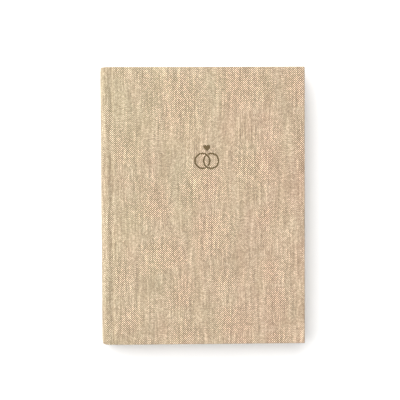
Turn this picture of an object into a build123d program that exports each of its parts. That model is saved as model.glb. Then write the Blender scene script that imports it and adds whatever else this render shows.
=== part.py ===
from build123d import *

import math
import os

# Wedding guest book: a case-bound (hardcover) book in natural linen cloth with
# french grooves and a blocked foil motif, lying on its back cover.
#
# Frame: +Z up through the thickness, +Y to the head, +X to the fore edge, the
# spine at -X. The origin is the centre of the underside of the back cover.

# ---------------------------------------------------------------- dimensions
WIDTH = 191.8            # spine to fore edge, over the cloth
HEIGHT = 261.0           # head to tail, over the cloth
THICK = 26.0             # closed, over both covers

CLOTH = 0.5              # book cloth with its paper backing and glue
BOARD = 2.6              # greyboard
PASTEDOWN = 0.2          # endpaper glued inside each cover
TURN_IN = 15.0           # cloth folded over inside each cover
SHELL = 2 * CLOTH + BOARD + PASTEDOWN
PASTE_MARGIN = 3.4       # turn-in left showing round the pastedown

X_OUT = -WIDTH / 2       # outermost line of the spine
X_HINGE = X_OUT + 5.9    # both hinge axes
X_SHOULDER = X_OUT + 6.8     # where the spine cloth dips into the groove
X_COVER = X_HINGE + 5.9      # spine side edge of each cover, over the cloth
Z_HINGE = THICK - SHELL / 2
X_FORE = WIDTH / 2

GROOVE_FLOOR = THICK - 2.9   # underside of the cloth in the groove
SPINE_HALF = THICK / 2 - 0.4     # half height of the spine's outer curve
SPINE_POWER = 2.8
INLAY = 1.2              # flexible card inside the spine cloth

SIGNATURES = 12
TURNING = 3              # top signatures that turn with the front cover
GAP = 0.06               # air between leaves that turn
FLYLEAF = 0.25
PAGE_W = 180.6
PAGE_H = 254.4
ROUNDING = 4.0           # how far the rounded back swells
X_BACK = X_HINGE + 2.3   # folds of the outermost signatures

THREAD = 0.44
TAPE = 0.22
TAPE_OFF = 0.15          # tapes stand this far off the folds
TAPE_W = 12.0
TAPE_Y = (-78.0, 0.0, 78.0)
MULL_OFF = 1.0           # gauze stands clear of the tapes and threads
MULL = 0.2
LINING = 0.18
BAND_R = 1.0             # head and tail bands

MOTIF_X, MOTIF_Y = 3.6, 46.6     # centre of the blocked motif
RING_R = 6.95            # to the middle of the line
RING_STEP = 8.2          # between the two ring centres
LINE_W = 1.55
FOIL = 0.08
DEBOSS = 0.2

BLOCK_Z0 = SHELL
BLOCK_Z1 = THICK - SHELL
SIG_Z0 = BLOCK_Z0 + GAP + FLYLEAF
SIG_Z1 = BLOCK_Z1 - GAP - FLYLEAF - GAP
SIG_T = (SIG_Z1 - SIG_Z0 - TURNING * GAP) / SIGNATURES

os.makedirs("parts", exist_ok=True)


def back_x(z):
    """The rounded back of the block at height z, swelling towards the spine."""
    u = (z - THICK / 2) / ((BLOCK_Z1 - BLOCK_Z0) / 2)
    return X_BACK - ROUNDING * (1 - u * u)


def spine_points(inset):
    """The spine's curve, from the upper shoulder round to the lower one."""
    depth, half = X_SHOULDER - X_OUT - inset, SPINE_HALF - inset
    points = []
    for k in range(25):
        t = math.radians(90 - 180 * k / 24)
        c, s = max(math.cos(t), 0.0), math.sin(t)
        points.append((
            X_SHOULDER - depth * c ** (2 / SPINE_POWER),
            THICK / 2 + math.copysign(half * abs(s) ** (2 / SPINE_POWER), s),
        ))
    return points


def back_points(offset, z0, z1, count=13):
    """Points along the rounded back, pushed out by offset towards the spine."""
    return [
        (back_x(z0 + (z1 - z0) * k / (count - 1)) - offset, z0 + (z1 - z0) * k / (count - 1))
        for k in range(count)
    ]


# Profiles are drawn in XZ and extruded both ways along Y.
SECTION = Plane.XZ

# ------------------------------------------------------------------- covers
# Each cover is a board in cloth, its inner face closed by turn-ins and a
# pastedown. (lower, upper) heights run from the inside of the book outwards.
COVER_MID_X = (X_COVER + X_FORE) / 2
COVER_W = X_FORE - X_COVER

for side in ("front", "back"):
    if side == "front":
        out, inn, sign = THICK, THICK - SHELL, 1
    else:
        out, inn, sign = 0.0, SHELL, -1

    def level(depth):
        """Height of a layer, depth below the cover's outer face."""
        return out - sign * depth

    board_z = (level(CLOTH) + level(CLOTH + BOARD)) / 2
    with BuildPart() as board:
        with Locations((COVER_MID_X, 0, board_z)):
            Box(COVER_W - 2 * CLOTH, HEIGHT - 2 * CLOTH, BOARD)
    board.part.label = f"{side}_board"
    export_step(board.part, f"parts/{side}_board.step")

    # The cloth wraps the outer face and all four edges, and turns in over the
    # inner face on three sides. At the spine side it runs on into the groove.
    wrap_z = (out + level(2 * CLOTH + BOARD)) / 2
    turn_z = (level(CLOTH + BOARD) + level(2 * CLOTH + BOARD)) / 2
    with BuildPart() as cloth:
        with Locations((COVER_MID_X, 0, wrap_z)):
            Box(COVER_W, HEIGHT, 2 * CLOTH + BOARD)
        faces_out = cloth.faces().sort_by(Axis.Z)[-1 if side == "front" else 0]
        fillet(faces_out.edges(), 0.45)
        with Locations((COVER_MID_X, 0, board_z)):
            Box(COVER_W - 2 * CLOTH, HEIGHT - 2 * CLOTH, BOARD, mode=Mode.SUBTRACT)
        window_x1 = X_FORE - CLOTH - TURN_IN
        with Locations(((X_COVER + CLOTH + window_x1) / 2, 0, turn_z)):
            Box(window_x1 - X_COVER - CLOTH, HEIGHT - 2 * CLOTH - 2 * TURN_IN, CLOTH, mode=Mode.SUBTRACT)
        if side == "front":
            # the motif is blocked a little way into the cloth
            for ring_x in (MOTIF_X - RING_STEP / 2, MOTIF_X + RING_STEP / 2):
                with BuildSketch(Plane.XY.offset(THICK - DEBOSS)) as pocket:
                    with Locations((ring_x, MOTIF_Y - 4.1)):
                        Circle(RING_R + LINE_W / 2)
                        Circle(RING_R - LINE_W / 2, mode=Mode.SUBTRACT)
                extrude(amount=DEBOSS + 1, mode=Mode.SUBTRACT)
            with BuildSketch(Plane.XY.offset(THICK - DEBOSS)) as heart_pocket:
                with BuildLine():
                    Polyline(
                        (MOTIF_X, MOTIF_Y + 4.9), (MOTIF_X - 3.2, MOTIF_Y + 8.4),
                        (MOTIF_X - 3.2, MOTIF_Y + 10.2), (MOTIF_X - 1.7, MOTIF_Y + 11.6),
                        (MOTIF_X, MOTIF_Y + 10.3), (MOTIF_X + 1.7, MOTIF_Y + 11.6),
                        (MOTIF_X + 3.2, MOTIF_Y + 10.2), (MOTIF_X + 3.2, MOTIF_Y + 8.4),
                        close=True,
                    )
                make_face()
                fillet(heart_pocket.vertices().sort_by(Axis.Y)[1:3], 1.2)
            extrude(amount=DEBOSS + 1, mode=Mode.SUBTRACT)
    cloth.part.label = f"{side}_cover_cloth"
    export_step(cloth.part, f"parts/{side}_cover_cloth.step")

    # Pastedown: thin over the turn-ins, with the filler that levels the board
    # between them.
    paste_z = (level(2 * CLOTH + BOARD) + level(SHELL)) / 2
    paste_x1 = X_FORE - PASTE_MARGIN
    fill_x0 = X_COVER + CLOTH
    with BuildPart() as pastedown:
        with Locations(((fill_x0 + paste_x1) / 2, 0, paste_z)):
            Box(paste_x1 - fill_x0, HEIGHT - 2 * PASTE_MARGIN, PASTEDOWN)
        with Locations(((fill_x0 + window_x1) / 2, 0, turn_z)):
            Box(window_x1 - fill_x0, HEIGHT - 2 * CLOTH - 2 * TURN_IN, CLOTH)
    pastedown.part.label = f"{side}_pastedown"
    export_step(pastedown.part, f"parts/{side}_pastedown.step")

    # Joint cloth: from the cover's spine edge along the floor of the groove and
    # up to the spine's shoulder.
    floor = GROOVE_FLOOR if side == "front" else THICK - GROOVE_FLOOR
    shoulder = THICK / 2 + sign * SPINE_HALF
    with BuildPart() as joint_cloth:
        with BuildSketch(SECTION) as strip:
            with BuildLine():
                Polyline(
                    (X_COVER, floor), (X_SHOULDER, floor),
                    (X_SHOULDER, shoulder), (X_SHOULDER + CLOTH, shoulder - sign * 0.15),
                    (X_SHOULDER + CLOTH, floor + sign * CLOTH), (X_COVER, floor + sign * CLOTH),
                    close=True,
                )
            make_face()
        extrude(amount=HEIGHT / 2, both=True)
    joint_cloth.part.label = f"{side}_joint_cloth"
    export_step(joint_cloth.part, f"parts/{side}_joint_cloth.step")

    # Hinge paper: the fold of the endpaper across the joint, and the gauze
    # flap between it and the joint cloth.
    paper_z = (level(2 * CLOTH + BOARD) + level(SHELL)) / 2
    with BuildPart() as hinge_paper:
        with Locations(((X_BACK + fill_x0) / 2, 0, paper_z)):
            Box(fill_x0 - X_BACK, PAGE_H, PASTEDOWN)
    hinge_paper.part.label = f"{side}_hinge_paper"
    export_step(hinge_paper.part, f"parts/{side}_hinge_paper.step")

    flap_z = (level(2 * CLOTH + BOARD) + floor) / 2
    with BuildPart() as mull_flap:
        with Locations(((X_BACK - 1.4 + X_COVER - 0.1) / 2, 0, flap_z)):
            Box(X_COVER - 0.1 - (X_BACK - 1.4), PAGE_H - 30, abs(floor - level(2 * CLOTH + BOARD)) - 0.1)
    mull_flap.part.label = f"{side}_mull_flap"
    export_step(mull_flap.part, f"parts/{side}_mull_flap.step")

# ---------------------------------------------------------- blocked motif
# Two interlocked rings under a small heart, in foil at the floor of the
# debossed line. At one crossing the left ring is broken, at the other the
# right ring, so that they link.
FOIL_Z = THICK - DEBOSS
LEFT = (MOTIF_X - RING_STEP / 2, MOTIF_Y - 4.1)
RIGHT = (MOTIF_X + RING_STEP / 2, MOTIF_Y - 4.1)
CROSS_Y = math.sqrt(RING_R**2 - (RING_STEP / 2) ** 2)
for name, here, other, cross in (
    ("foil_ring_left", LEFT, RIGHT, -1),
    ("foil_ring_right", RIGHT, LEFT, 1),
):
    with BuildPart() as ring:
        with BuildSketch(Plane.XY.offset(FOIL_Z)):
            with Locations(here):
                Circle(RING_R + LINE_W / 2)
                Circle(RING_R - LINE_W / 2, mode=Mode.SUBTRACT)
        extrude(amount=FOIL)
        with BuildSketch(Plane.XY.offset(FOIL_Z - 1)) as other_line:
            with Locations(other):
                Circle(RING_R + LINE_W / 2 + 0.45)
                Circle(RING_R - LINE_W / 2 - 0.45, mode=Mode.SUBTRACT)
            with Locations((MOTIF_X, MOTIF_Y - 4.1 + cross * CROSS_Y)):
                Rectangle(5.0, 5.0, mode=Mode.INTERSECT)
        extrude(amount=3, mode=Mode.SUBTRACT)
        # the other ring's own line shows whole at both crossings
        with BuildSketch(Plane.XY.offset(FOIL_Z - 1)) as own_gap:
            with Locations(other):
                Circle(RING_R + LINE_W / 2)
                Circle(RING_R - LINE_W / 2, mode=Mode.SUBTRACT)
            with Locations((MOTIF_X, MOTIF_Y - 4.1 + cross * CROSS_Y)):
                Rectangle(5.0, 5.0, mode=Mode.INTERSECT)
        extrude(amount=3, mode=Mode.SUBTRACT)
    ring.part.label = name
    export_step(ring.part, f"parts/{name}.step")

with BuildPart() as heart:
    with BuildSketch(Plane.XY.offset(FOIL_Z)) as heart_face:
        with BuildLine():
            Polyline(
                (MOTIF_X, MOTIF_Y + 4.9), (MOTIF_X - 3.2, MOTIF_Y + 8.4),
                (MOTIF_X - 3.2, MOTIF_Y + 10.2), (MOTIF_X - 1.7, MOTIF_Y + 11.6),
                (MOTIF_X, MOTIF_Y + 10.3), (MOTIF_X + 1.7, MOTIF_Y + 11.6),
                (MOTIF_X + 3.2, MOTIF_Y + 10.2), (MOTIF_X + 3.2, MOTIF_Y + 8.4),
                close=True,
            )
        make_face()
        fillet(heart_face.vertices().sort_by(Axis.Y)[1:3], 1.2)
    extrude(amount=FOIL)
heart.part.label = "foil_heart"
export_step(heart.part, "parts/foil_heart.step")

# -------------------------------------------------------------------- spine
with BuildPart() as spine_cloth:
    with BuildSketch(SECTION):
        with BuildLine():
            outer = Spline(*spine_points(0))
            inner = Spline(*spine_points(CLOTH))
            Line(outer @ 0, inner @ 0)
            Line(outer @ 1, inner @ 1)
        make_face()
    extrude(amount=HEIGHT / 2, both=True)
spine_cloth.part.label = "spine_cloth"
export_step(spine_cloth.part, "parts/spine_cloth.step")

with BuildPart() as spine_inlay:
    with BuildSketch(SECTION):
        with BuildLine():
            outer = Spline(*spine_points(CLOTH))
            inner = Spline(*spine_points(CLOTH + INLAY))
            Line(outer @ 0, inner @ 0)
            Line(outer @ 1, inner @ 1)
        make_face()
    extrude(amount=HEIGHT / 2 - CLOTH, both=True)
    # the card stops just short of the grooves
    with Locations((X_SHOULDER, 0, THICK / 2)):
        Box(2 * (X_SHOULDER - X_HINGE + 0.1), HEIGHT, THICK, mode=Mode.SUBTRACT)
spine_inlay.part.label = "spine_inlay"
export_step(spine_inlay.part, "parts/spine_inlay.step")

# ------------------------------------------------------------- text block
# Sheets folded and nested into signatures. The fold is round, and the fore
# edge follows the rounding of the back. Number 01 is the lowest.
signature_levels = []
z = SIG_Z0
for k in range(SIGNATURES):
    if k >= SIGNATURES - TURNING:
        z += GAP
    signature_levels.append((z, z + SIG_T))
    z += SIG_T

for k, (z0, z1) in enumerate(signature_levels):
    zm = (z0 + z1) / 2
    with BuildPart() as signature:
        with BuildSketch(SECTION):
            with BuildLine():
                fold = ThreePointArc(
                    (back_x(z0) + 0.45, z0), (back_x(zm), zm), (back_x(z1) + 0.45, z1)
                )
                Polyline(
                    fold @ 1, (back_x(z1) + PAGE_W, z1), (back_x(z0) + PAGE_W, z0), fold @ 0
                )
            make_face()
        extrude(amount=PAGE_H / 2, both=True)
    signature.part.label = f"signature_{k + 1:02d}"
    export_step(signature.part, f"parts/signature_{k + 1:02d}.step")

for side, z0 in (("front", BLOCK_Z1 - GAP - FLYLEAF), ("back", BLOCK_Z0 + GAP)):
    with BuildPart() as flyleaf:
        with Locations((X_BACK + 0.3 + (PAGE_W - 0.3) / 2, 0, z0 + FLYLEAF / 2)):
            Box(PAGE_W - 0.3, PAGE_H, FLYLEAF)
    flyleaf.part.label = f"{side}_flyleaf"
    export_step(flyleaf.part, f"parts/{side}_flyleaf.step")

# ---------------------------------------------- sewing and back linings
SEW_Z0, SEW_Z1 = SIG_Z0 + 0.3, signature_levels[-1][1] - 0.3

with BuildPart() as sewing_tapes:
    with BuildSketch(SECTION) as tape_line:
        with BuildLine():
            inner = Spline(*back_points(TAPE_OFF, SEW_Z0, SEW_Z1))
            outer = Spline(*back_points(TAPE_OFF + TAPE, SEW_Z0, SEW_Z1))
            Line(inner @ 0, outer @ 0)
            Line(inner @ 1, outer @ 1)
        make_face()
    extrude(amount=TAPE_W / 2, both=True)
    add(sewing_tapes.part.moved(Location((0, TAPE_Y[0], 0))))
    add(sewing_tapes.part.moved(Location((0, TAPE_Y[2] - TAPE_Y[0] + TAPE_Y[0], 0))))
sewing_tapes.part.label = "sewing_tapes"
export_step(sewing_tapes.part, "parts/sewing_tapes.step")

# Each signature is sewn round every tape: the thread shows as a short run
# over the tape, in line with the signature's fold.
with BuildPart() as sewing_threads:
    for z0, z1 in signature_levels:
        zm = (z0 + z1) / 2
        for y in TAPE_Y:
            with Locations(Location((back_x(zm) - TAPE_OFF - TAPE - THREAD / 2 - 0.09, y, zm), (90, 0, 0))):
                Cylinder(THREAD / 2, TAPE_W + 1.0)
sewing_threads.part.label = "sewing_threads"
export_step(sewing_threads.part, "parts/sewing_threads.step")

with BuildPart() as spine_mull:
    with BuildSketch(SECTION):
        with BuildLine():
            inner = Spline(*back_points(MULL_OFF, SEW_Z0 - 0.2, SEW_Z1 + 0.2))
            outer = Spline(*back_points(MULL_OFF + MULL, SEW_Z0 - 0.2, SEW_Z1 + 0.2))
            Line(inner @ 0, outer @ 0)
            Line(inner @ 1, outer @ 1)
        make_face()
    extrude(amount=PAGE_H / 2 - 15, both=True)
spine_mull.part.label = "spine_mull"
export_step(spine_mull.part, "parts/spine_mull.step")

with BuildPart() as spine_lining:
    with BuildSketch(SECTION):
        with BuildLine():
            inner = Spline(*back_points(MULL_OFF + MULL, SEW_Z0 - 0.2, SEW_Z1 + 0.2))
            outer = Spline(*back_points(MULL_OFF + MULL + LINING, SEW_Z0 - 0.2, SEW_Z1 + 0.2))
            Line(inner @ 0, outer @ 0)
            Line(inner @ 1, outer @ 1)
        make_face()
    extrude(amount=PAGE_H / 2 - 4, both=True)
spine_lining.part.label = "spine_lining"
export_step(spine_lining.part, "parts/spine_lining.step")

# Head and tail bands: a bead along the rounded back at each end of the block.
BAND_Z0, BAND_Z1 = BLOCK_Z0 + 0.9, BLOCK_Z1 - 0.9
for name, y in (("headband", PAGE_H / 2 + BAND_R), ("tailband", -PAGE_H / 2 - BAND_R)):
    with BuildPart() as band:
        with BuildLine() as bead:
            ThreePointArc(
                (back_x(BAND_Z0) + 0.9, y, BAND_Z0),
                (back_x(THICK / 2) + 0.9, y, THICK / 2),
                (back_x(BAND_Z1) + 0.9, y, BAND_Z1),
            )
        with BuildSketch(Plane(origin=bead.line @ 0, z_dir=bead.line % 0)):
            Circle(BAND_R)
        sweep()
    band.part.label = name
    export_step(band.part, f"parts/{name}.step")

print("signature thickness", round(SIG_T, 4), "turning stack", [tuple(round(v, 3) for v in p) for p in signature_levels[-3:]])
print("hinges", X_HINGE, Z_HINGE, SHELL / 2, "cover edge", X_COVER)
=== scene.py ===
import math
import random

import bpy
import numpy as np
from mathutils import Matrix, Vector


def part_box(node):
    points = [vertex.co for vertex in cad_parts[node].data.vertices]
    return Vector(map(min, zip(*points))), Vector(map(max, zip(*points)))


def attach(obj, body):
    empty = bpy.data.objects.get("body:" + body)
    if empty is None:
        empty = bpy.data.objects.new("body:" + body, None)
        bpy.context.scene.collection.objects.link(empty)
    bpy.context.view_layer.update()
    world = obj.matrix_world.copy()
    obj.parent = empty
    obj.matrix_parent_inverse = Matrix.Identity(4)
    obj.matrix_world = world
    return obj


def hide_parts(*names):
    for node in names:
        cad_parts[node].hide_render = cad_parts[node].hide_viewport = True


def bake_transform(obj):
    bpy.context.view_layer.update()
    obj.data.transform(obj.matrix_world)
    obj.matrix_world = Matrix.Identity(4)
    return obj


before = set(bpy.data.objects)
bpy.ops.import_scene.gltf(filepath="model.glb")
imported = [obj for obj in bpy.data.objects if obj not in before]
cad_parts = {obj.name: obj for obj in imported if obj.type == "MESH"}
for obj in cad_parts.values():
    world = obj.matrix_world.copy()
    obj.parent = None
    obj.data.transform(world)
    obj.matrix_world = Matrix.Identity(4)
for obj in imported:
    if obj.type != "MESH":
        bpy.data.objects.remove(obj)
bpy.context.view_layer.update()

random.seed(7)
rng = np.random.default_rng(7)
MM = 0.001

# ------------------------------------------------------------ dimensions (mm)
# The same frame as the CAD: X from spine to fore edge, Y to the head, Z up.
X_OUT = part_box("spine_cloth")[0][0] * 1000
X_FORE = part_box("front_cover_cloth")[1][0] * 1000
X_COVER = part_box("front_cover_cloth")[0][0] * 1000
HALF_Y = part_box("front_cover_cloth")[1][1] * 1000
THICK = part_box("front_cover_cloth")[1][2] * 1000
X_HINGE = X_OUT + 5.9
X_SHOULDER = X_OUT + 6.8
SHELL = 3.8
CLOTH = 0.5
SPINE_HALF = THICK / 2 - 0.4
SPINE_POWER = 2.8
MID = THICK / 2
BLOCK_Z0, BLOCK_Z1 = SHELL, THICK - SHELL
X_BACK = X_HINGE + 2.3
ROUNDING = 4.0
PAGE_W = 180.6
PAGE_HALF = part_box("signature_05")[1][1] * 1000
MOTIF = (3.6, 46.6)


def back_x(z):
    u = (z - MID) / ((BLOCK_Z1 - BLOCK_Z0) / 2)
    return X_BACK - ROUNDING * (1 - u * u)


# ------------------------------------------------------------------ materials
class Graph:
    """Small helper that writes shader maths as expressions."""

    def __init__(self, name):
        self.mat = bpy.data.materials.new(name)
        self.mat.use_nodes = True
        self.tree = self.mat.node_tree
        self.tree.nodes.clear()
        self.out = self.tree.nodes.new("ShaderNodeOutputMaterial")
        self.bsdf = self.tree.nodes.new("ShaderNodeBsdfPrincipled")
        self.tree.links.new(self.bsdf.outputs[0], self.out.inputs[0])

    def put(self, socket, value):
        if isinstance(value, bpy.types.NodeSocket):
            self.tree.links.new(value, socket)
        else:
            socket.default_value = value

    def math(self, op, a, b=None, c=None, clamp=False):
        n = self.tree.nodes.new("ShaderNodeMath")
        n.operation = op
        n.use_clamp = clamp
        for k, v in enumerate((a, b, c)):
            if v is not None:
                self.put(n.inputs[k], v)
        return n.outputs[0]

    def add(self, a, b):
        return self.math("ADD", a, b)

    def mul(self, a, b):
        return self.math("MULTIPLY", a, b)

    def sub(self, a, b):
        return self.math("SUBTRACT", a, b)

    def uv(self, scale=1000.0):
        n = self.tree.nodes.new("ShaderNodeUVMap")
        n.uv_map = "UVMap"
        s = self.tree.nodes.new("ShaderNodeSeparateXYZ")
        self.tree.links.new(n.outputs[0], s.inputs[0])
        return self.mul(s.outputs[0], scale), self.mul(s.outputs[1], scale)

    def vec(self, x, y, z=0.0):
        n = self.tree.nodes.new("ShaderNodeCombineXYZ")
        for k, v in enumerate((x, y, z)):
            self.put(n.inputs[k], v)
        return n.outputs[0]

    def noise(self, vector, scale=1.0, detail=2.0, rough=0.5):
        n = self.tree.nodes.new("ShaderNodeTexNoise")
        n.noise_dimensions = "3D"
        self.put(n.inputs["Vector"], vector)
        n.inputs["Scale"].default_value = scale
        n.inputs["Detail"].default_value = detail
        n.inputs["Roughness"].default_value = rough
        return n.outputs[0]

    def white(self, vector):
        n = self.tree.nodes.new("ShaderNodeTexWhiteNoise")
        n.noise_dimensions = "3D"
        self.put(n.inputs["Vector"], vector)
        return n.outputs[0]

    def ramp(self, fac, stops):
        n = self.tree.nodes.new("ShaderNodeValToRGB")
        self.put(n.inputs[0], fac)
        e = n.color_ramp.elements
        while len(e) < len(stops):
            e.new(0.5)
        for k, (p, c) in enumerate(stops):
            e[k].position = p
            e[k].color = (*c, 1.0)
        return n.outputs[0]

    def mix(self, fac, a, b, mode="MIX"):
        n = self.tree.nodes.new("ShaderNodeMix")
        n.data_type = "RGBA"
        n.blend_type = mode
        self.put(n.inputs[0], fac)
        for k, v in ((6, a), (7, b)):
            self.put(n.inputs[k], (*v, 1.0) if isinstance(v, tuple) else v)
        return n.outputs[2]

    def map(self, v, a, b, c, d):
        n = self.tree.nodes.new("ShaderNodeMapRange")
        n.clamp = True
        for k, x in enumerate((v, a, b, c, d)):
            self.put(n.inputs[k], x)
        return n.outputs[0]

    def scale_color(self, color, factor):
        n = self.tree.nodes.new("ShaderNodeVectorMath")
        n.operation = "SCALE"
        self.put(n.inputs[0], color)
        self.put(n.inputs[3], factor)
        return n.outputs[0]

    def bump(self, height, distance, strength=1.0, normal=None):
        n = self.tree.nodes.new("ShaderNodeBump")
        n.inputs["Strength"].default_value = strength
        n.inputs["Distance"].default_value = distance
        self.put(n.inputs["Height"], height)
        if normal is not None:
            self.put(n.inputs["Normal"], normal)
        return n.outputs[0]

    def object_coord(self):
        n = self.tree.nodes.new("ShaderNodeTexCoord")
        return n.outputs["Object"]


BASE_GREEN = (0.409, 0.341, 0.220)
BASE_PINK = (0.452, 0.306, 0.219)
BASE_DARK = (0.392, 0.290, 0.183)
BASE_LIGHT = (0.415, 0.355, 0.270)
GAIN = 1.045
PITCH = 0.925


def linen(name="linen_cloth", pitch=PITCH, foil=False):
    """Plain-weave natural linen: threads that wander, slubs along the warp and a slow change of tone."""
    g = Graph(name)
    u, v = g.uv()
    wander_u = g.mul(g.sub(g.noise(g.vec(g.mul(u, 0.034), g.mul(v, 0.010), 1.7), 1.0, 1.0), 0.5), 0.95)
    wander_v = g.mul(g.sub(g.noise(g.vec(g.mul(u, 0.012), g.mul(v, 0.036), 8.3), 1.0, 1.0), 0.5), 1.0)
    fine_u = g.mul(g.sub(g.noise(g.vec(g.mul(u, 0.50), g.mul(v, 0.06), 4.1), 1.0, 1.0), 0.5), 0.16)
    fine_v = g.mul(g.sub(g.noise(g.vec(g.mul(u, 0.06), g.mul(v, 0.50), 5.9), 1.0, 1.0), 0.5), 0.16)
    a = g.mul(g.add(g.add(u, wander_u), fine_u), 1 / pitch)
    b = g.mul(g.add(g.add(v, wander_v), fine_v), 1 / pitch)
    ca = g.math("COSINE", g.mul(a, math.pi))
    cb = g.math("COSINE", g.mul(b, math.pi))
    cross = g.mul(ca, cb)
    crown = g.math("POWER", g.math("ABSOLUTE", cross), 0.6)
    # each thread has its own tone, which drifts along its length
    ti = g.math("ROUND", a)
    tj = g.math("ROUND", b)
    warp = g.noise(g.vec(g.mul(ti, 3.71), g.mul(v, 0.036), 2.0), 1.0, 1.0, 0.6)
    weft = g.noise(g.vec(g.mul(u, 0.06), g.mul(tj, 3.37), 6.0), 1.0, 2.0, 0.6)
    slub = g.noise(g.vec(g.mul(u, 0.60), g.mul(v, 0.018), 9.0), 1.0, 2.0, 0.6)
    slub_x = g.noise(g.vec(g.mul(u, 0.045), g.mul(v, 0.5), 3.0), 1.0, 2.0, 0.55)
    speck = g.white(g.vec(ti, tj, 0.5))
    patch = g.noise(g.vec(g.mul(u, 0.075), g.mul(v, 0.020), 12.0), 1.0, 2.0, 0.55)
    slow = g.noise(g.vec(g.mul(u, 0.016), g.mul(v, 0.012), 14.0), 1.0, 2.0)
    f = g.mul(g.sub(warp, 0.5), 1.12)
    f = g.add(f, g.mul(g.sub(weft, 0.5), 0.26))
    f = g.add(f, g.mul(g.sub(slub, 0.5), 0.30))
    f = g.add(f, g.mul(g.sub(slub_x, 0.5), 0.18))
    f = g.add(f, g.mul(g.sub(speck, 0.5), 0.50))
    f = g.add(f, g.mul(g.sub(slow, 0.5), 0.02))
    f = g.math("EXPONENT", f)
    # warp on top reads light, weft on top dark; how strongly drifts in patches
    square = g.mul(g.math("SUBTRACT", g.map(ca, -0.45, 0.45, 0.0, 2.0), 1.0), g.math("SUBTRACT", g.map(cb, -0.45, 0.45, 0.0, 2.0), 1.0))
    amp = g.map(patch, 0.36, 0.60, 0.62, 0.90)
    f = g.mul(f, g.add(1.0, g.mul(square, amp)))
    # painted shade: the colour is darkened in the gaps between thread crowns, down to 0.74 of the crowns
    f = g.mul(f, g.map(crown, 0.0, 0.6, 0.74, 1.03))
    f = g.math("MINIMUM", f, 2.9)
    # colour: yellower and greener to the left, pinker to the right and lower down
    across = g.map(g.add(u, g.mul(v, -0.25)), 0.0, 230.0, 0.0, 1.0)
    tint = g.add(g.mul(across, 0.42), g.mul(g.noise(g.vec(g.mul(u, 0.040), g.mul(v, 0.016), 21.0), 1.0, 3.0, 0.6), 0.98))
    base = g.mix(g.map(tint, 0.42, 1.0, 0.0, 1.0), BASE_GREEN, BASE_PINK)
    dark = g.mix(g.map(f, 0.35, 1.0, 1.0, 0.0), base, BASE_DARK)
    dark = g.mix(g.map(f, 1.0, 2.3, 0.0, 0.62), dark, BASE_LIGHT)
    color = g.scale_color(dark, g.mul(f, GAIN))
    g.put(g.bsdf.inputs["Base Color"], color)
    g.bsdf.inputs["Roughness"].default_value = 0.86
    g.bsdf.inputs["Specular IOR Level"].default_value = 0.18
    g.bsdf.inputs["Sheen Weight"].default_value = 0.08
    height = g.add(g.mul(crown, 0.7), g.mul(warp, 0.35))
    height = g.add(height, g.mul(slub, 0.5))
    g.put(g.bsdf.inputs["Normal"], g.bump(height, 0.00011, 0.55))
    return g.mat


def paper(name, color, fibre=0.05, ruled=False, grain=1.0):
    g = Graph(name)
    u, v = g.uv()
    n1 = g.noise(g.vec(g.mul(u, 0.9 * grain), g.mul(v, 0.9 * grain), 1.0), 1.0, 4.0, 0.6)
    n2 = g.noise(g.vec(g.mul(u, 0.04), g.mul(v, 0.03), 4.0), 1.0, 2.0)
    fleck = g.noise(g.vec(g.mul(u, 2.6), g.mul(v, 0.7), 7.0), 1.0, 2.0, 0.7)
    f = g.add(1.0, g.mul(g.sub(n1, 0.5), fibre))
    f = g.add(f, g.mul(g.sub(n2, 0.5), fibre * 1.2))
    f = g.add(f, g.mul(g.sub(fleck, 0.5), fibre * 0.8))
    tone = g.tree.nodes.new("ShaderNodeAttribute")
    tone.attribute_name = "tone"
    f = g.mul(f, g.add(0.72, g.mul(tone.outputs["Fac"], 0.28)))
    col = g.scale_color(g.mix(g.map(n2, 0.3, 0.7, 0.0, 1.0), color, tuple(c * k for c, k in zip(color, (1.0, 0.985, 0.955)))), f)
    if ruled:
        # faint writing lines with margins on the leaves
        saw = g.math("FRACT", g.mul(g.add(v, 500.0), 1 / 11.0))
        line = g.math("LESS_THAN", saw, 0.045)
        inside = g.mul(g.math("GREATER_THAN", u, 22.0), g.math("LESS_THAN", u, 168.0))
        inside = g.mul(inside, g.mul(g.math("GREATER_THAN", v, -104.0), g.math("LESS_THAN", v, 96.0)))
        col = g.mix(g.mul(g.mul(line, inside), 0.55), col, (0.50, 0.42, 0.32))
    g.put(g.bsdf.inputs["Base Color"], col)
    g.bsdf.inputs["Roughness"].default_value = 0.78
    g.bsdf.inputs["Specular IOR Level"].default_value = 0.25
    g.put(g.bsdf.inputs["Normal"], g.bump(g.add(n1, g.mul(fleck, 0.5)), 0.00006, 0.5))
    return g.mat


def cad_material(name, color, freq, fibre=0.10, rough=0.8, metal=0.0, weave=0.0):
    """For CAD nodes: the pattern follows object coordinates, because they carry no UVs."""
    g = Graph(name)
    s = g.tree.nodes.new("ShaderNodeSeparateXYZ")
    g.tree.links.new(g.object_coord(), s.inputs[0])
    x, y, z = (g.mul(s.outputs[k], 1000.0) for k in range(3))
    n = g.noise(g.vec(g.mul(x, freq), g.mul(y, freq), g.mul(z, freq * 3)), 1.0, 4.0, 0.6)
    f = g.add(1.0, g.mul(g.sub(n, 0.5), fibre * 2))
    height = n
    if weave:
        w = g.mul(g.math("SINE", g.mul(y, math.pi / weave)), g.math("SINE", g.mul(z, math.pi / weave)))
        f = g.mul(f, g.add(0.90, g.mul(g.math("ABSOLUTE", w), 0.18)))
        height = g.add(n, g.math("ABSOLUTE", w))
    g.put(g.bsdf.inputs["Base Color"], g.scale_color(g.mix(n, color, tuple(c * 0.86 for c in color)), f))
    g.bsdf.inputs["Roughness"].default_value = rough
    g.bsdf.inputs["Metallic"].default_value = metal
    g.put(g.bsdf.inputs["Normal"], g.bump(height, 0.0001, 0.6))
    return g.mat


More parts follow.
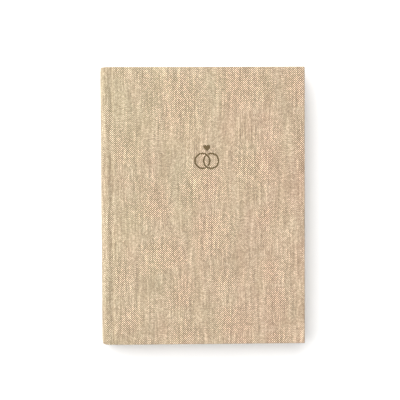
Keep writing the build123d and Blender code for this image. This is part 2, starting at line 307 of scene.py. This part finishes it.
def foil(name):
    """Hot foil pressed over the weave: it breaks up a little on the crowns and in the valleys."""
    g = Graph(name)
    u, v = g.uv()
    a, b = g.mul(u, math.pi / PITCH), g.mul(v, math.pi / PITCH)
    w = g.math("ABSOLUTE", g.mul(g.math("COSINE", a), g.math("COSINE", b)))
    n = g.noise(g.vec(g.mul(u, 1.3), g.mul(v, 1.3), 0.0), 1.0, 3.0, 0.65)
    f = g.add(g.mul(w, 0.45), g.mul(n, 1.0))
    col = g.ramp(g.map(f, 0.25, 1.05, 0.0, 1.0), [(0.0, (0.050, 0.030, 0.010)), (0.5, (0.098, 0.062, 0.022)), (1.0, (0.20, 0.138, 0.055))])
    g.put(g.bsdf.inputs["Base Color"], col)
    g.bsdf.inputs["Metallic"].default_value = 0.45
    g.bsdf.inputs["Roughness"].default_value = 0.42
    g.put(g.bsdf.inputs["Normal"], g.bump(g.add(w, n), 0.00012, 0.8))
    return g.mat


def silk(name, color):
    g = Graph(name)
    u, v = g.uv()
    strand = g.math("ABSOLUTE", g.math("SINE", g.mul(g.add(u, g.mul(v, 0.35)), math.pi / 0.16)))
    n = g.noise(g.vec(g.mul(u, 2.0), g.mul(v, 0.6), 0.0), 1.0, 2.0)
    f = g.add(0.82, g.add(g.mul(strand, 0.16), g.mul(n, 0.14)))
    g.put(g.bsdf.inputs["Base Color"], g.scale_color(g.mix(n, color, tuple(c * 0.9 for c in color)), f))
    g.bsdf.inputs["Roughness"].default_value = 0.45
    g.bsdf.inputs["Sheen Weight"].default_value = 0.15
    g.put(g.bsdf.inputs["Normal"], g.bump(strand, 0.00005, 0.7))
    return g.mat


M_LINEN = linen()
M_PAGE = paper("page_paper", (0.64, 0.612, 0.545), 0.05, ruled=True)
# page edges: the coarser grain is the paper's own, but the colour is set lighter than the leaves' as painted light on
# the block's shaded sides
M_EDGE = paper("page_edge", (0.76, 0.70, 0.585), 0.18, grain=2.2)
M_END = paper("endpaper", (0.64, 0.605, 0.53), 0.07)
M_CARD = paper("spine_card", (0.36, 0.32, 0.26), 0.18)
M_FOIL = foil("gold_foil")
M_SILK_A = silk("band_cream", (0.78, 0.70, 0.54))
M_SILK_B = silk("band_sand", (0.52, 0.40, 0.25))


# -------------------------------------------------------------------- meshes
def build(name, verts, faces, uvs=None, mats=(), mat_index=None, tone=None, smooth=True, sharp=None):
    """verts in mm; uvs is one (u, v) in mm per face corner, face by face."""
    me = bpy.data.meshes.new(name)
    me.from_pydata([(x * MM, y * MM, z * MM) for x, y, z in verts], [], faces)
    for m in mats:
        me.materials.append(m)
    if mat_index is not None:
        me.polygons.foreach_set("material_index", mat_index)
    if uvs is not None:
        layer = me.uv_layers.new(name="UVMap")
        flat = np.array([c for f in uvs for c in f], float) * MM
        layer.data.foreach_set("uv", flat.reshape(-1))
    if tone is not None:
        attr = me.attributes.new("tone", "FLOAT", "FACE")
        attr.data.foreach_set("value", np.asarray(tone, float))
    me.polygons.foreach_set("use_smooth", [smooth] * len(me.polygons))
    me.validate()
    me.update()
    if smooth and sharp is not None:
        me.set_sharp_from_angle(angle=math.radians(sharp))
    ob = bpy.data.objects.new(name, me)
    bpy.context.scene.collection.objects.link(ob)
    return ob


def arc(cx, cz, r, a0, a1, n):
    return [
        (cx + r * math.cos(math.radians(a0 + (a1 - a0) * k / n)), cz + r * math.sin(math.radians(a0 + (a1 - a0) * k / n)))
        for k in range(n + 1)
    ]


def smooth_line(points, step):
    """Catmull-Rom through the points, resampled about every step mm."""
    p = [np.array(q, float) for q in points]
    p = [2 * p[0] - p[1], *p, 2 * p[-1] - p[-2]]
    out = []
    for k in range(1, len(p) - 2):
        n = max(1, int(round(np.linalg.norm(p[k + 1] - p[k]) / step)))
        for j in range(n):
            t = j / n
            q = 0.5 * (
                2 * p[k] + (p[k + 1] - p[k - 1]) * t
                + (2 * p[k - 1] - 5 * p[k] + 4 * p[k + 1] - p[k + 2]) * t**2
                + (3 * p[k] - p[k - 1] - 3 * p[k + 1] + p[k + 2]) * t**3
            )
            out.append(tuple(q))
    out.append(tuple(p[-2]))
    return out


def resample(points, count):
    p = np.array(points, float)
    d = np.concatenate([[0], np.cumsum(np.linalg.norm(np.diff(p, axis=0), axis=1))])
    t = np.linspace(0, d[-1], count)
    return [(float(np.interp(s, d, p[:, 0])), float(np.interp(s, d, p[:, 1]))) for s in t]


def spine_curve(inset, n=22):
    """From mid height up to the shoulder."""
    depth, half = X_SHOULDER - X_OUT - inset, SPINE_HALF - inset
    pts = []
    for k in range(n + 1):
        t = math.radians(90 * k / n)
        pts.append((X_SHOULDER - depth * max(math.cos(t), 0) ** (2 / SPINE_POWER), MID + half * max(math.sin(t), 0) ** (2 / SPINE_POWER)))
    return pts


GROOVE_TOP = THICK - 1.2     # upper side of the cloth at the groove's floor


def case_section():
    """The cloth-covered case, front half, as matched (outer, inner) points from mid-spine to the fore edge."""
    pairs = []
    outer, inner = resample(spine_curve(0, 60), 26), resample(spine_curve(1.72, 60), 26)
    pairs += list(zip(outer, inner))
    # shoulder, down into the groove, along its floor and up the board's edge
    o = smooth_line(
        [(X_SHOULDER, THICK - 0.4), (X_SHOULDER + 0.75, THICK - 0.52), (X_SHOULDER + 1.45, THICK - 0.72),
         (X_SHOULDER + 2.15, THICK - 1.0), (X_SHOULDER + 2.85, GROOVE_TOP + 0.02), (X_COVER - 1.1, GROOVE_TOP + 0.06),
         (X_COVER - 0.42, GROOVE_TOP + 0.22), (X_COVER + 0.12, THICK - 0.66), (X_COVER + 0.55, THICK - 0.34)],
        0.28,
    )
    i = smooth_line(
        [(X_SHOULDER - 0.05, THICK - 2.12), (X_SHOULDER + 0.55, THICK - 2.14), (X_SHOULDER + 1.2, THICK - 2.20),
         (X_SHOULDER + 1.9, THICK - 2.30), (X_SHOULDER + 2.7, THICK - 2.42), (X_COVER - 1.0, THICK - 2.62),
         (X_COVER - 0.3, THICK - 2.75), (X_COVER + 0.25, THICK - 3.05), (X_COVER + 0.75, THICK - 3.58)],
        0.28,
    )
    o, i = resample(o, 26), resample(i, 26)
    pairs += list(zip(o[1:], i[1:]))
    # over the board's shoulder
    top = smooth_line([(X_COVER + 0.55, THICK - 0.34), (X_COVER + 0.95, THICK - 0.15), (X_COVER + 1.5, THICK - 0.04), (X_COVER + 2.2, THICK)], 0.3)[1:]
    bot = [(X_COVER + 0.75 + 1.5 * (k + 1) / len(top), THICK - 3.6) for k in range(len(top))]
    pairs += list(zip(top, bot))
    x0, x1 = X_COVER + 2.6, X_FORE - 2.2
    for k in range(30):
        x = x0 + (x1 - x0) * k / 29
        pairs.append(((x, THICK), (x, THICK - 3.6)))
    rf = 0.75
    top = arc(X_FORE - rf, THICK - rf, rf, 90, 0, 6)
    bot = arc(X_FORE - 0.55, THICK - 3.6 + 0.55, 0.55, 270, 360, 6)
    pairs += list(zip(top, bot))
    for k in range(1, 4):
        zt = THICK - rf - (THICK - rf - (THICK - 1.9)) * k / 3
        zb = THICK - 3.6 + 0.55 + (THICK - 1.9 - (THICK - 3.6 + 0.55)) * k / 3
        pairs.append(((X_FORE, zt), (X_FORE, zb)))
    return pairs


def hash_noise(x, seed):
    """Smooth 1-D value noise."""
    r = np.random.default_rng(seed).uniform(-1, 1, 512)
    k = math.floor(x)
    t = x - k
    t = t * t * (3 - 2 * t)
    return float(r[k % 512] * (1 - t) + r[(k + 1) % 512] * t)


def make_case(name, flip):
    pairs = case_section()
    n = len(pairs)
    # one closed ring: outer 0..n-1, then the inner ones back; the last pair is one point
    ring = [p[0] for p in pairs] + [p[1] for p in reversed(pairs[:-1])]
    m = len(ring)
    p = np.array(ring)
    nxt, prv = np.roll(p, -1, axis=0), np.roll(p, 1, axis=0)
    tan = nxt - prv
    tan[0] = p[1] - p[0]                    # mid-spine: the halves meet here, so no turn round the end
    tan[m - 1] = p[m - 1] - p[m - 2]
    tan /= np.linalg.norm(tan, axis=1)[:, None]
    inward = np.stack([tan[:, 1], -tan[:, 0]], axis=1)      # the ring runs clockwise in XZ
    # thickness at each point, from its matched point
    thick = np.zeros(m)
    for k in range(n - 1):
        d = float(np.linalg.norm(np.array(pairs[k][0]) - np.array(pairs[k][1])))
        thick[k] = d
        thick[m - 1 - k if k else m - 1] = d
    thick[n - 1] = 3.6
    for k in range(n - 1):
        thick[m - 1 - k] = float(np.linalg.norm(np.array(pairs[k][0]) - np.array(pairs[k][1])))
    radius = np.clip(thick * 0.42, 0.12, 0.75)
    s_out = np.concatenate([[0], np.cumsum(np.linalg.norm(np.diff(p[:n], axis=0), axis=1))])
    s_ring = np.zeros(m)
    s_ring[:n] = s_out
    for k in range(n - 1):
        s_ring[m - 1 - k] = s_out[k]
    # arc length on past the fore edge for the inside, so the weave keeps its scale there
    s_in = s_out[-1]
    prev = p[n - 1]
    inner_u = {}
    for k in range(n, m):
        s_in += float(np.linalg.norm(p[k] - prev))
        prev = p[k]
        inner_u[k] = s_in
    rows = []
    for k in range(6):
        phi = math.radians(90 - 90 * k / 5)
        rows.append((-1, phi, None))
    ys = np.linspace(-HALF_Y + 0.76, HALF_Y - 0.76, 66)
    for y in ys[1:-1]:
        rows.append((0, 0.0, float(y)))
    for k in range(6):
        phi = math.radians(90 * k / 5)
        rows.append((1, phi, None))
    verts, row_y = [], []
    for end, phi, y in rows:
        for k in range(m):
            r = radius[k]
            if end:
                yy = end * (HALF_Y - r + r * math.sin(phi))
                inset = r * (1 - math.cos(phi))
            else:
                yy, inset = y, 0.0
            x, z = p[k] + inward[k] * inset
            # the cloth is drawn in a little at the ends of the spine
            if x < X_SHOULDER + 0.5:
                w = min(1.0, max(0.0, (X_SHOULDER + 0.5 - x) / 5.5))
                reach, depth = (3.0, 0.55) if yy < 0 else (2.4, 0.4)
                t = max(0.0, 1 - (HALF_Y - abs(yy)) / reach)
                x += w * depth * t * t
                yy -= math.copysign(0.4 * w * t * t * (1.0 if yy < 0 else 0.5), yy)
            # hand-made edges are never quite straight
            if k < n and x < X_SHOULDER - 1:
                x += 0.05 + 0.05 * hash_noise(yy / 11.0 + 40, 5)
            if x > X_FORE - 1.0:
                x -= 0.03 + 0.03 * hash_noise(yy / 17.0 + 40, 9)
            if abs(yy) > HALF_Y - 1.0:
                yy -= math.copysign(0.03 + 0.03 * hash_noise(x / 15.0 + 40, 11 if yy > 0 else 12), yy)
            verts.append((x, yy, z))
        row_y.append(None)
    nr = len(rows)
    faces, uvs, mi = [], [], []

    def uv_of(k, y, inside):
        if inside and k in inner_u:
            return (inner_u[k], y)
        if inside and k == 0:
            return (inner_u[m - 1] + 1.7, y)
        return (s_ring[k], y)

    for j in range(nr - 1):
        for k in range(m):
            k2 = (k + 1) % m
            if k == m - 1:
                continue        # the cut at mid-spine stays open against the other half
            a, b, c, d = j * m + k, j * m + k2, (j + 1) * m + k2, (j + 1) * m + k
            inside = k >= n - 1
            faces.append((a, b, c, d))
            q = []
            for idx, kk, jj in ((a, k, j), (b, k2, j), (c, k2, j + 1), (d, k, j + 1)):
                # v runs on over the rounded ends
                end, phi, y = rows[jj]
                r = radius[kk]
                vv = y if not end else end * (HALF_Y - r + r * phi)
                q.append(uv_of(kk, vv, inside))
            uvs.append(q)
            xm = (verts[a][0] + verts[b][0]) / 2
            ym = abs(verts[a][1] + verts[d][1]) / 2
            card = inside and xm < X_SHOULDER - 0.3 and ym < HALF_Y - 15
            mi.append(1 if card else 0)
    # end faces as strips between matched points
    for j, sign in ((0, -1), (nr - 1, 1)):
        for k in range(n - 1):
            o1, o2 = k, k + 1
            i1 = m - 1 - k
            i2 = m - 1 - (k + 1) if k + 1 < n - 1 else n - 1
            quad = [j * m + o1, j * m + o2, j * m + i2, j * m + i1]
            if i2 == n - 1:
                quad = [j * m + o1, j * m + o2, j * m + i1]
            vals = []
            for idx in quad:
                x, y, z = verts[idx]
                vals.append((s_ring[idx - j * m] if idx - j * m < n else s_ring[idx - j * m], sign * (HALF_Y + 0.4 + (THICK - z))))
            faces.append(tuple(quad))
            uvs.append(vals)
            mi.append(0)
    if flip:
        verts = [(x, y, THICK - z) for x, y, z in verts]
        uvs = [[(-u, v) for u, v in f] for f in uvs]
    ob = build(name, verts, faces, uvs, [M_LINEN, M_CARD], mi, smooth=True)
    # normals outwards
    import bmesh
    bm = bmesh.new()
    bm.from_mesh(ob.data)
    bmesh.ops.recalc_face_normals(bm, faces=bm.faces[:])
    bm.to_mesh(ob.data)
    bm.free()
    ob.data.update()
    ob.data.set_sharp_from_angle(angle=math.radians(50))
    return ob


case_front = make_case("case_front_linen", False)
case_back = make_case("case_back_linen", True)
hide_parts("front_cover_cloth", "front_joint_cloth", "spine_cloth", "spine_inlay")
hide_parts("back_cover_cloth", "back_joint_cloth")

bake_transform(case_front)
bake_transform(case_back)


# ------------------------------------------------------- thin sheets (papers)
def slab(name, xs, y0, y1, z0, z1, mats, corner=0.0, tone=1.0, u0=0.0, ny=2, top_mat=0, wave=0.0):
    """A thin sheet with square corners; corner is not used. xs are its stations along X."""
    ys = list(np.linspace(y0, y1, ny))
    verts, faces, uvs, mi, tones = [], [], [], [], []
    nx = len(xs)
    for z in (z0, z1):
        for jy, y in enumerate(ys):
            for ix, x in enumerate(xs):
                dz = wave * math.sin(y / 41.0 + x / 67.0) if wave else 0.0
                verts.append((x, y, z + dz))
    L = nx * len(ys)

    def face(idx, uvq, m, t):
        faces.append(tuple(idx)); uvs.append(uvq); mi.append(m); tones.append(t)

    for jy in range(len(ys) - 1):
        for ix in range(nx - 1):
            a, b, c, d = jy * nx + ix, jy * nx + ix + 1, (jy + 1) * nx + ix + 1, (jy + 1) * nx + ix
            q = [(xs[ix] - u0, ys[jy]), (xs[ix + 1] - u0, ys[jy]), (xs[ix + 1] - u0, ys[jy + 1]), (xs[ix] - u0, ys[jy + 1])]
            face((L + a, L + b, L + c, L + d), q, top_mat, tone)
            face((a, d, c, b), [q[0], q[3], q[2], q[1]], top_mat, tone)
    em = len(mats) - 1
    for ix in range(nx - 1):
        for jy, s in ((0, 1), (len(ys) - 1, -1)):
            a, b = jy * nx + ix, jy * nx + ix + 1
            q = (a, b, L + b, L + a) if s > 0 else (b, a, L + a, L + b)
            face(q, [(verts[i][0], verts[i][2] * 3) for i in q], em, tone)
    for jy in range(len(ys) - 1):
        for ix, s in ((nx - 1, 1), (0, -1)):
            a, b = jy * nx + ix, (jy + 1) * nx + ix
            q = (a, b, L + b, L + a) if s > 0 else (b, a, L + a, L + b)
            face(q, [(verts[i][1], verts[i][2] * 3) for i in q], em, tone)
    return build(name, verts, faces, uvs, mats, mi, tones, smooth=True, sharp=38)


def stations(x0, x1, fine_from, fine_to, fine=0.6, coarse=22.0):
    xs = [x0]
    x = x0
    while x < x1 - 1e-6:
        step = fine if fine_from - 0.5 <= x < fine_to + 0.5 else coarse
        x = min(x1, x + step)
        if x1 - x < 0.25 * step:
            x = x1
        xs.append(x)
    return xs


paste_x1 = X_FORE - 3.4
paste_front = slab("front_pastedown_paper", stations(X_BACK, paste_x1, X_HINGE, X_COVER + 1, 0.35), -PAGE_HALF + 0.1, PAGE_HALF - 0.1,
                   THICK - SHELL, THICK - SHELL + 0.22, [M_END], ny=3)
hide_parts("front_pastedown", "front_hinge_paper")
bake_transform(paste_front)
paste_back = slab("back_pastedown_paper", stations(X_BACK, paste_x1, X_HINGE, X_COVER + 1, 0.35), -PAGE_HALF + 0.1, PAGE_HALF - 0.1,
                  SHELL - 0.22, SHELL, [M_END], ny=3)
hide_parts("back_pastedown", "back_hinge_paper")
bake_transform(paste_back)

M_MULL = cad_material("mull_gauze", (0.72, 0.67, 0.56), 0.8, 0.12, 0.85, weave=0.5)
flap_front = slab("front_mull_gauze", stations(X_BACK - 1.4, X_COVER - 0.1, X_HINGE, X_COVER + 1, 0.35), -112.2, 112.2,
                  THICK - 3.3, THICK - 3.05, [M_CARD], ny=3)
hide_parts("front_mull_flap")
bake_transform(flap_front)
flap_back = slab("back_mull_gauze", stations(X_BACK - 1.4, X_COVER - 0.1, X_HINGE, X_COVER + 1, 0.35), -112.2, 112.2,
                 3.05, 3.3, [M_CARD], ny=3)
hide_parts("back_mull_flap")
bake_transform(flap_back)

# flyleaves
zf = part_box("front_flyleaf")[0][2] * 1000
fly_front = slab("front_flyleaf_paper", stations(X_BACK + 0.1, X_BACK + PAGE_W - 0.1, X_HINGE, X_HINGE + 13, 0.5), -PAGE_HALF + 0.15, PAGE_HALF - 0.15,
                 zf + 0.02, zf + 0.23, [M_END], ny=3)
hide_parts("front_flyleaf")
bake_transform(fly_front)
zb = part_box("back_flyleaf")[0][2] * 1000
fly_back = slab("back_flyleaf_paper", stations(X_BACK + 0.1, X_BACK + PAGE_W - 0.1, X_HINGE, X_HINGE + 1, 8.0), -PAGE_HALF + 0.15, PAGE_HALF - 0.15,
                zb + 0.02, zb + 0.23, [M_END], ny=3)
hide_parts("back_flyleaf")
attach(fly_back, "text_block")


# ---------------------------------------------------------------- signatures
def make_signature(k):
    node = f"signature_{k:02d}"
    lo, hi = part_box(node)
    z0, z1 = lo[2] * 1000, hi[2] * 1000
    zm, T = (z0 + z1) / 2, z1 - z0
    moving = k >= 10
    verts, faces, uvs, mi, tones = [], [], [], [], []
    leaf = T / 8
    x_fold = back_x(zm)
    for sheet in range(4):
        ro = T / 2 - sheet * leaf - 0.008
        ri = ro - leaf + 0.022
        cx = x_fold + T / 2
        xe_top = back_x(zm + ro) + PAGE_W - 0.05 + rng.uniform(-0.16, 0.0)
        xe_bot = back_x(zm - ro) + PAGE_W - 0.05 + rng.uniform(-0.16, 0.0)
        ye = [PAGE_HALF - rng.uniform(0.0, 0.14), PAGE_HALF - rng.uniform(0.0, 0.14)]

        def along(x1):
            if moving:
                return stations(cx, x1, X_HINGE - 4, X_HINGE + 14, 0.5)[1:]
            return [cx + 1.5, cx + 60, cx + 120, x1]

        top, bot = along(xe_top), along(xe_bot)
        count = 6
        arc_o = arc(cx, zm, ro, 90, 270, count)
        arc_i = arc(cx, zm, max(ri, 0.02), 90, 270, count)
        outer = [(x, zm + ro) for x in reversed(top)] + arc_o + [(x, zm - ro) for x in bot]
        inner = [(x, zm + max(ri, 0.004)) for x in reversed(top)] + arc_i + [(x, zm - max(ri, 0.004)) for x in bot]
        nt, n = len(top), len(outer)
        base = len(verts)
        nys = 2
        ys = [-ye[0], ye[1]]
        for y in ys:
            for x, z in outer:
                verts.append((x, y, z))
            for x, z in inner:
                verts.append((x, y, z))
        st = 2 * n
        tn_top, tn_bot = rng.uniform(0.0, 1.0), rng.uniform(0.0, 1.0)
        for i in range(n - 1):
            tn = tn_top if i < nt + 2 else tn_bot
            a, b = base + i, base + i + 1
            c, d = a + st, b + st
            xs = [(verts[q][0] - X_BACK, verts[q][1]) for q in (a, c, d, b)]
            faces.append((a, c, d, b)); uvs.append(xs); mi.append(0); tones.append(1.0)
            a2, b2 = a + n, b + n
            c2, d2 = c + n, d + n
            xs = [(verts[q][0] - X_BACK, verts[q][1]) for q in (a2, b2, d2, c2)]
            faces.append((a2, b2, d2, c2)); uvs.append(xs); mi.append(0); tones.append(1.0)
            for q in ((a, b, b2, a2), (c, c2, d2, d)):
                faces.append(q); uvs.append([(verts[w][0], verts[w][2] * 4) for w in q]); mi.append(1); tones.append(tn)
        for i, tn in ((0, tn_top), (n - 1, tn_bot)):
            a = base + i
            q = (a, a + n, a + n + st, a + st)
            faces.append(q); uvs.append([(verts[w][1], verts[w][2] * 4) for w in q]); mi.append(1); tones.append(tn)
    ob = build(f"signature_{k:02d}_leaves", verts, faces, uvs, [M_PAGE, M_EDGE], mi, tones, smooth=True, sharp=38)
    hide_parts(node)
    if moving:
        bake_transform(ob)
    else:
        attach(ob, "text_block")
    return ob


for k in range(1, 13):
    make_signature(k)


# -------------------------------------------------------- head and tail bands
def make_band(name, node, sign):
    lo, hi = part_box(node)
    z0, z1 = lo[2] * 1000 + 0.35, hi[2] * 1000 - 0.35
    y = sign * (PAGE_HALF + 1.0)
    path = []
    steps = 190
    for k in range(steps + 1):
        z = z0 + (z1 - z0) * k / steps
        path.append((back_x(z) + 0.9, y, z))
    d = np.concatenate([[0], np.cumsum([np.linalg.norm(np.subtract(path[k + 1], path[k])) for k in range(steps)])])
    rings, verts, faces, uvs, mi = 14, [], [], [], []
    pitch = 0.62
    for k, (x, yy, z) in enumerate(path):
        t = np.subtract(path[min(k + 1, steps)], path[max(k - 1, 0)])
        t = t / np.linalg.norm(t)
        side = np.cross(t, (0, 1, 0))
        side /= np.linalg.norm(side)
        rib = abs(math.sin(math.pi * d[k] / pitch))
        r = 0.86 + 0.12 * rib
        cap = min(1.0, 0.25 + min(d[k], d[-1] - d[k]) / 0.8)
        for q in range(rings):
            th = 2 * math.pi * q / rings
            off = side * math.cos(th) * r * cap + np.array((0, 1, 0)) * math.sin(th) * r * cap
            verts.append((x + off[0], yy + off[1], z + off[2]))
    for k in range(steps):
        for q in range(rings):
            q2 = (q + 1) % rings
            f = (k * rings + q, k * rings + q2, (k + 1) * rings + q2, (k + 1) * rings + q)
            faces.append(f)
            uvs.append([(d[k], q * 0.4), (d[k], (q + 1) * 0.4), (d[k + 1], (q + 1) * 0.4), (d[k + 1], q * 0.4)])
            mi.append(int(((d[k] + d[k + 1]) / 2) / pitch) // 2 % 2)
    for k in (0, steps):
        faces.append(tuple(k * rings + q for q in range(rings)))
        uvs.append([(0, 0)] * rings)
        mi.append(0)
    ob = build(name, verts, faces, uvs, [M_SILK_A, M_SILK_B], mi, smooth=True)
    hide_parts(node)
    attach(ob, "text_block")
    return ob


make_band("headband_silk", "headband", 1)
make_band("tailband_silk", "tailband", -1)


# --------------------------------------------------------------- foil motif
RING_R, STEP, LINE = 6.95, 8.2, 1.55
Z_FOIL = THICK + 0.012


def foil_strip(name, node, points, width, closed=False):
    p = np.array(points, float)
    verts, faces, uvs = [], [], []
    n = len(p)
    for k in range(n):
        a = p[(k - 1) % n] if closed or k else p[k]
        b = p[(k + 1) % n] if closed or k < n - 1 else p[k]
        t = (b - a) / np.linalg.norm(b - a)
        s = np.array((-t[1], t[0]))
        w = width / 2 * (1 + 0.05 * hash_noise(k * 0.9 + 30, 3))
        for q in (-1.0, -0.55, 0.0, 0.55, 1.0):
            xy = p[k] + s * w * q
            verts.append((xy[0], xy[1], Z_FOIL + 0.03 * (1 - q * q)))
    for k in range(n if closed else n - 1):
        for q in range(4):
            k2 = (k + 1) % n
            f = (k * 5 + q, k2 * 5 + q, k2 * 5 + q + 1, k * 5 + q + 1)
            faces.append(f)
            uvs.append([(verts[i][0], verts[i][1]) for i in f])
    ob = build(name, verts, faces, uvs, [M_FOIL], [0] * len(faces), smooth=True)
    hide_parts(node)
    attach(ob, "front_cover")
    return ob


def ring_points(cx, cy, gap_at, gap):
    """A circle broken around the angle gap_at, both in degrees."""
    return [
        (cx + RING_R * math.cos(math.radians(a)), cy + RING_R * math.sin(math.radians(a)))
        for a in np.linspace(gap_at + gap / 2, gap_at + 360 - gap / 2, 120)
    ]


half = math.degrees(math.acos((STEP / 2) / RING_R))
cy = MOTIF[1] - 4.1
gap = math.degrees((LINE + 0.9) / RING_R / math.sin(math.radians(2 * half))) if abs(math.sin(math.radians(2 * half))) > 0.3 else 24
foil_strip("foil_left_ring", "foil_ring_left", ring_points(MOTIF[0] - STEP / 2, cy, -half, gap), LINE)
foil_strip("foil_right_ring", "foil_ring_right", ring_points(MOTIF[0] + STEP / 2, cy, 180 - half, gap), LINE)

# the heart is one solid patch
outline = []
for k in range(72):
    t = 2 * math.pi * k / 72
    hx = 16 * math.sin(t) ** 3
    hy = 13 * math.cos(t) - 5 * math.cos(2 * t) - 2 * math.cos(3 * t) - math.cos(4 * t)
    outline.append((MOTIF[0] + hx * 0.205, MOTIF[1] + 8.25 + hy * 0.220))
hv = [(x, y, Z_FOIL) for x, y in outline]
hv += [(MOTIF[0] + (x - MOTIF[0]) * 0.82, MOTIF[1] + 8.35 + (y - MOTIF[1] - 8.35) * 0.82, Z_FOIL + 0.03) for x, y in outline]
hv.append((MOTIF[0], MOTIF[1] + 8.0, Z_FOIL + 0.03))
hf = [(k, (k + 1) % 72, 72 + (k + 1) % 72, 72 + k) for k in range(72)] + [(72 + k, 72 + (k + 1) % 72, 144) for k in range(72)]
hf = [tuple(reversed(f)) for f in hf]
heart = build("foil_small_heart", hv, hf, [[(hv[i][0], hv[i][1]) for i in f] for f in hf], [M_FOIL], [0] * len(hf))
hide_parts("foil_heart")
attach(heart, "front_cover")

# ------------------------------------------------------- carried-over CAD nodes
for node, mat in {
    "front_board": cad_material("greyboard_front", (0.36, 0.33, 0.29), 0.9, 0.16),
    "back_board": cad_material("greyboard_back", (0.36, 0.33, 0.29), 0.9, 0.16),
    "sewing_tapes": cad_material("cotton_tape", (0.76, 0.71, 0.60), 1.1, 0.08, weave=0.35),
    "sewing_threads": cad_material("linen_thread", (0.70, 0.62, 0.47), 2.0, 0.14),
    "spine_mull": M_MULL,
    "spine_lining": cad_material("kraft_lining", (0.44, 0.33, 0.21), 0.7, 0.16),
}.items():
    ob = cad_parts[node]
    if not ob.material_slots:
        ob.data.materials.append(mat)
    for s in ob.material_slots:
        s.material = mat

# -------------------------------------------------------------------- stage
bpy.ops.mesh.primitive_plane_add(size=7.0, location=(0, 0, 0))
floor = bpy.context.object
floor.name = "floor"
fm = bpy.data.materials.new("floor_white")
fm.use_nodes = True
fb = fm.node_tree.nodes["Principled BSDF"]
fb.inputs["Base Color"].default_value = (0.94, 0.94, 0.945, 1)
fb.inputs["Roughness"].default_value = 0.9
fb.inputs["Specular IOR Level"].default_value = 0.0
floor.data.materials.append(fm)

world = bpy.data.worlds.new("studio")
bpy.context.scene.world = world
world.use_nodes = True
wt = world.node_tree
bg = wt.nodes["Background"]
coord = wt.nodes.new("ShaderNodeTexCoord")
axes = wt.nodes.new("ShaderNodeSeparateXYZ")
fade = wt.nodes.new("ShaderNodeMapRange")
fade.interpolation_type = "SMOOTHSTEP"
for k, v in enumerate((0.0, 0.12, 0.50, 1.0, 0.44)):
    if k:
        fade.inputs[k].default_value = v
wt.links.new(coord.outputs["Generated"], axes.inputs[0])
wt.links.new(axes.outputs[2], fade.inputs[0])
bg.inputs[0].default_value = (1.0, 1.0, 1.0, 1)
wt.links.new(fade.outputs[0], bg.inputs[1])


def lamp(name, where, to, size, power, color=(1, 1, 1)):
    d = bpy.data.lights.new(name, "AREA")
    d.shape = "DISK"
    d.size = size
    d.energy = power
    d.color = color
    o = bpy.data.objects.new(name, d)
    bpy.context.scene.collection.objects.link(o)
    o.location = where
    o.visible_camera = False
    o.rotation_euler = (Vector(to) - Vector(where)).to_track_quat("-Z", "Y").to_euler()
    return o


KEY_EL, KEY_DIST = math.radians(50.0), 5.0
lamp("key", (-KEY_DIST * math.cos(KEY_EL) * 0.707, KEY_DIST * math.cos(KEY_EL) * 0.707, KEY_DIST * math.sin(KEY_EL)), (0, 0, 0), 8.6, 560.0, (1.0, 0.99, 0.975))

bpy.context.scene.view_settings.view_transform = "Standard"
bpy.context.scene.view_settings.look = "None"

# ------------------------------------------------------------------- camera
DIST = 1.2
TILT = math.radians(2.7)
YAW = math.radians(2.0)
cam_data = bpy.data.cameras.new("camera")
cam_data.lens = 36.0 * DIST / 0.3756
cam_data.sensor_width = 36.0
cam_data.clip_start = 0.05
cam_data.clip_end = 20.0
cam = bpy.data.objects.new("camera", cam_data)
bpy.context.scene.collection.objects.link(cam)
look = Vector((-0.0029, 0.0058, THICK * MM))
cam.location = look + Vector((-math.sin(YAW), math.sin(TILT), math.cos(TILT) * math.cos(YAW))).normalized() * DIST
back = (cam.location - look).normalized()
right = Vector((0, 1, 0)).cross(back).normalized()
up = back.cross(right)
aim = Matrix((right, up, back)).transposed()
cam.rotation_euler = (aim @ Matrix.Rotation(math.radians(-0.25), 3, "Z")).to_euler()
bpy.context.scene.camera = cam
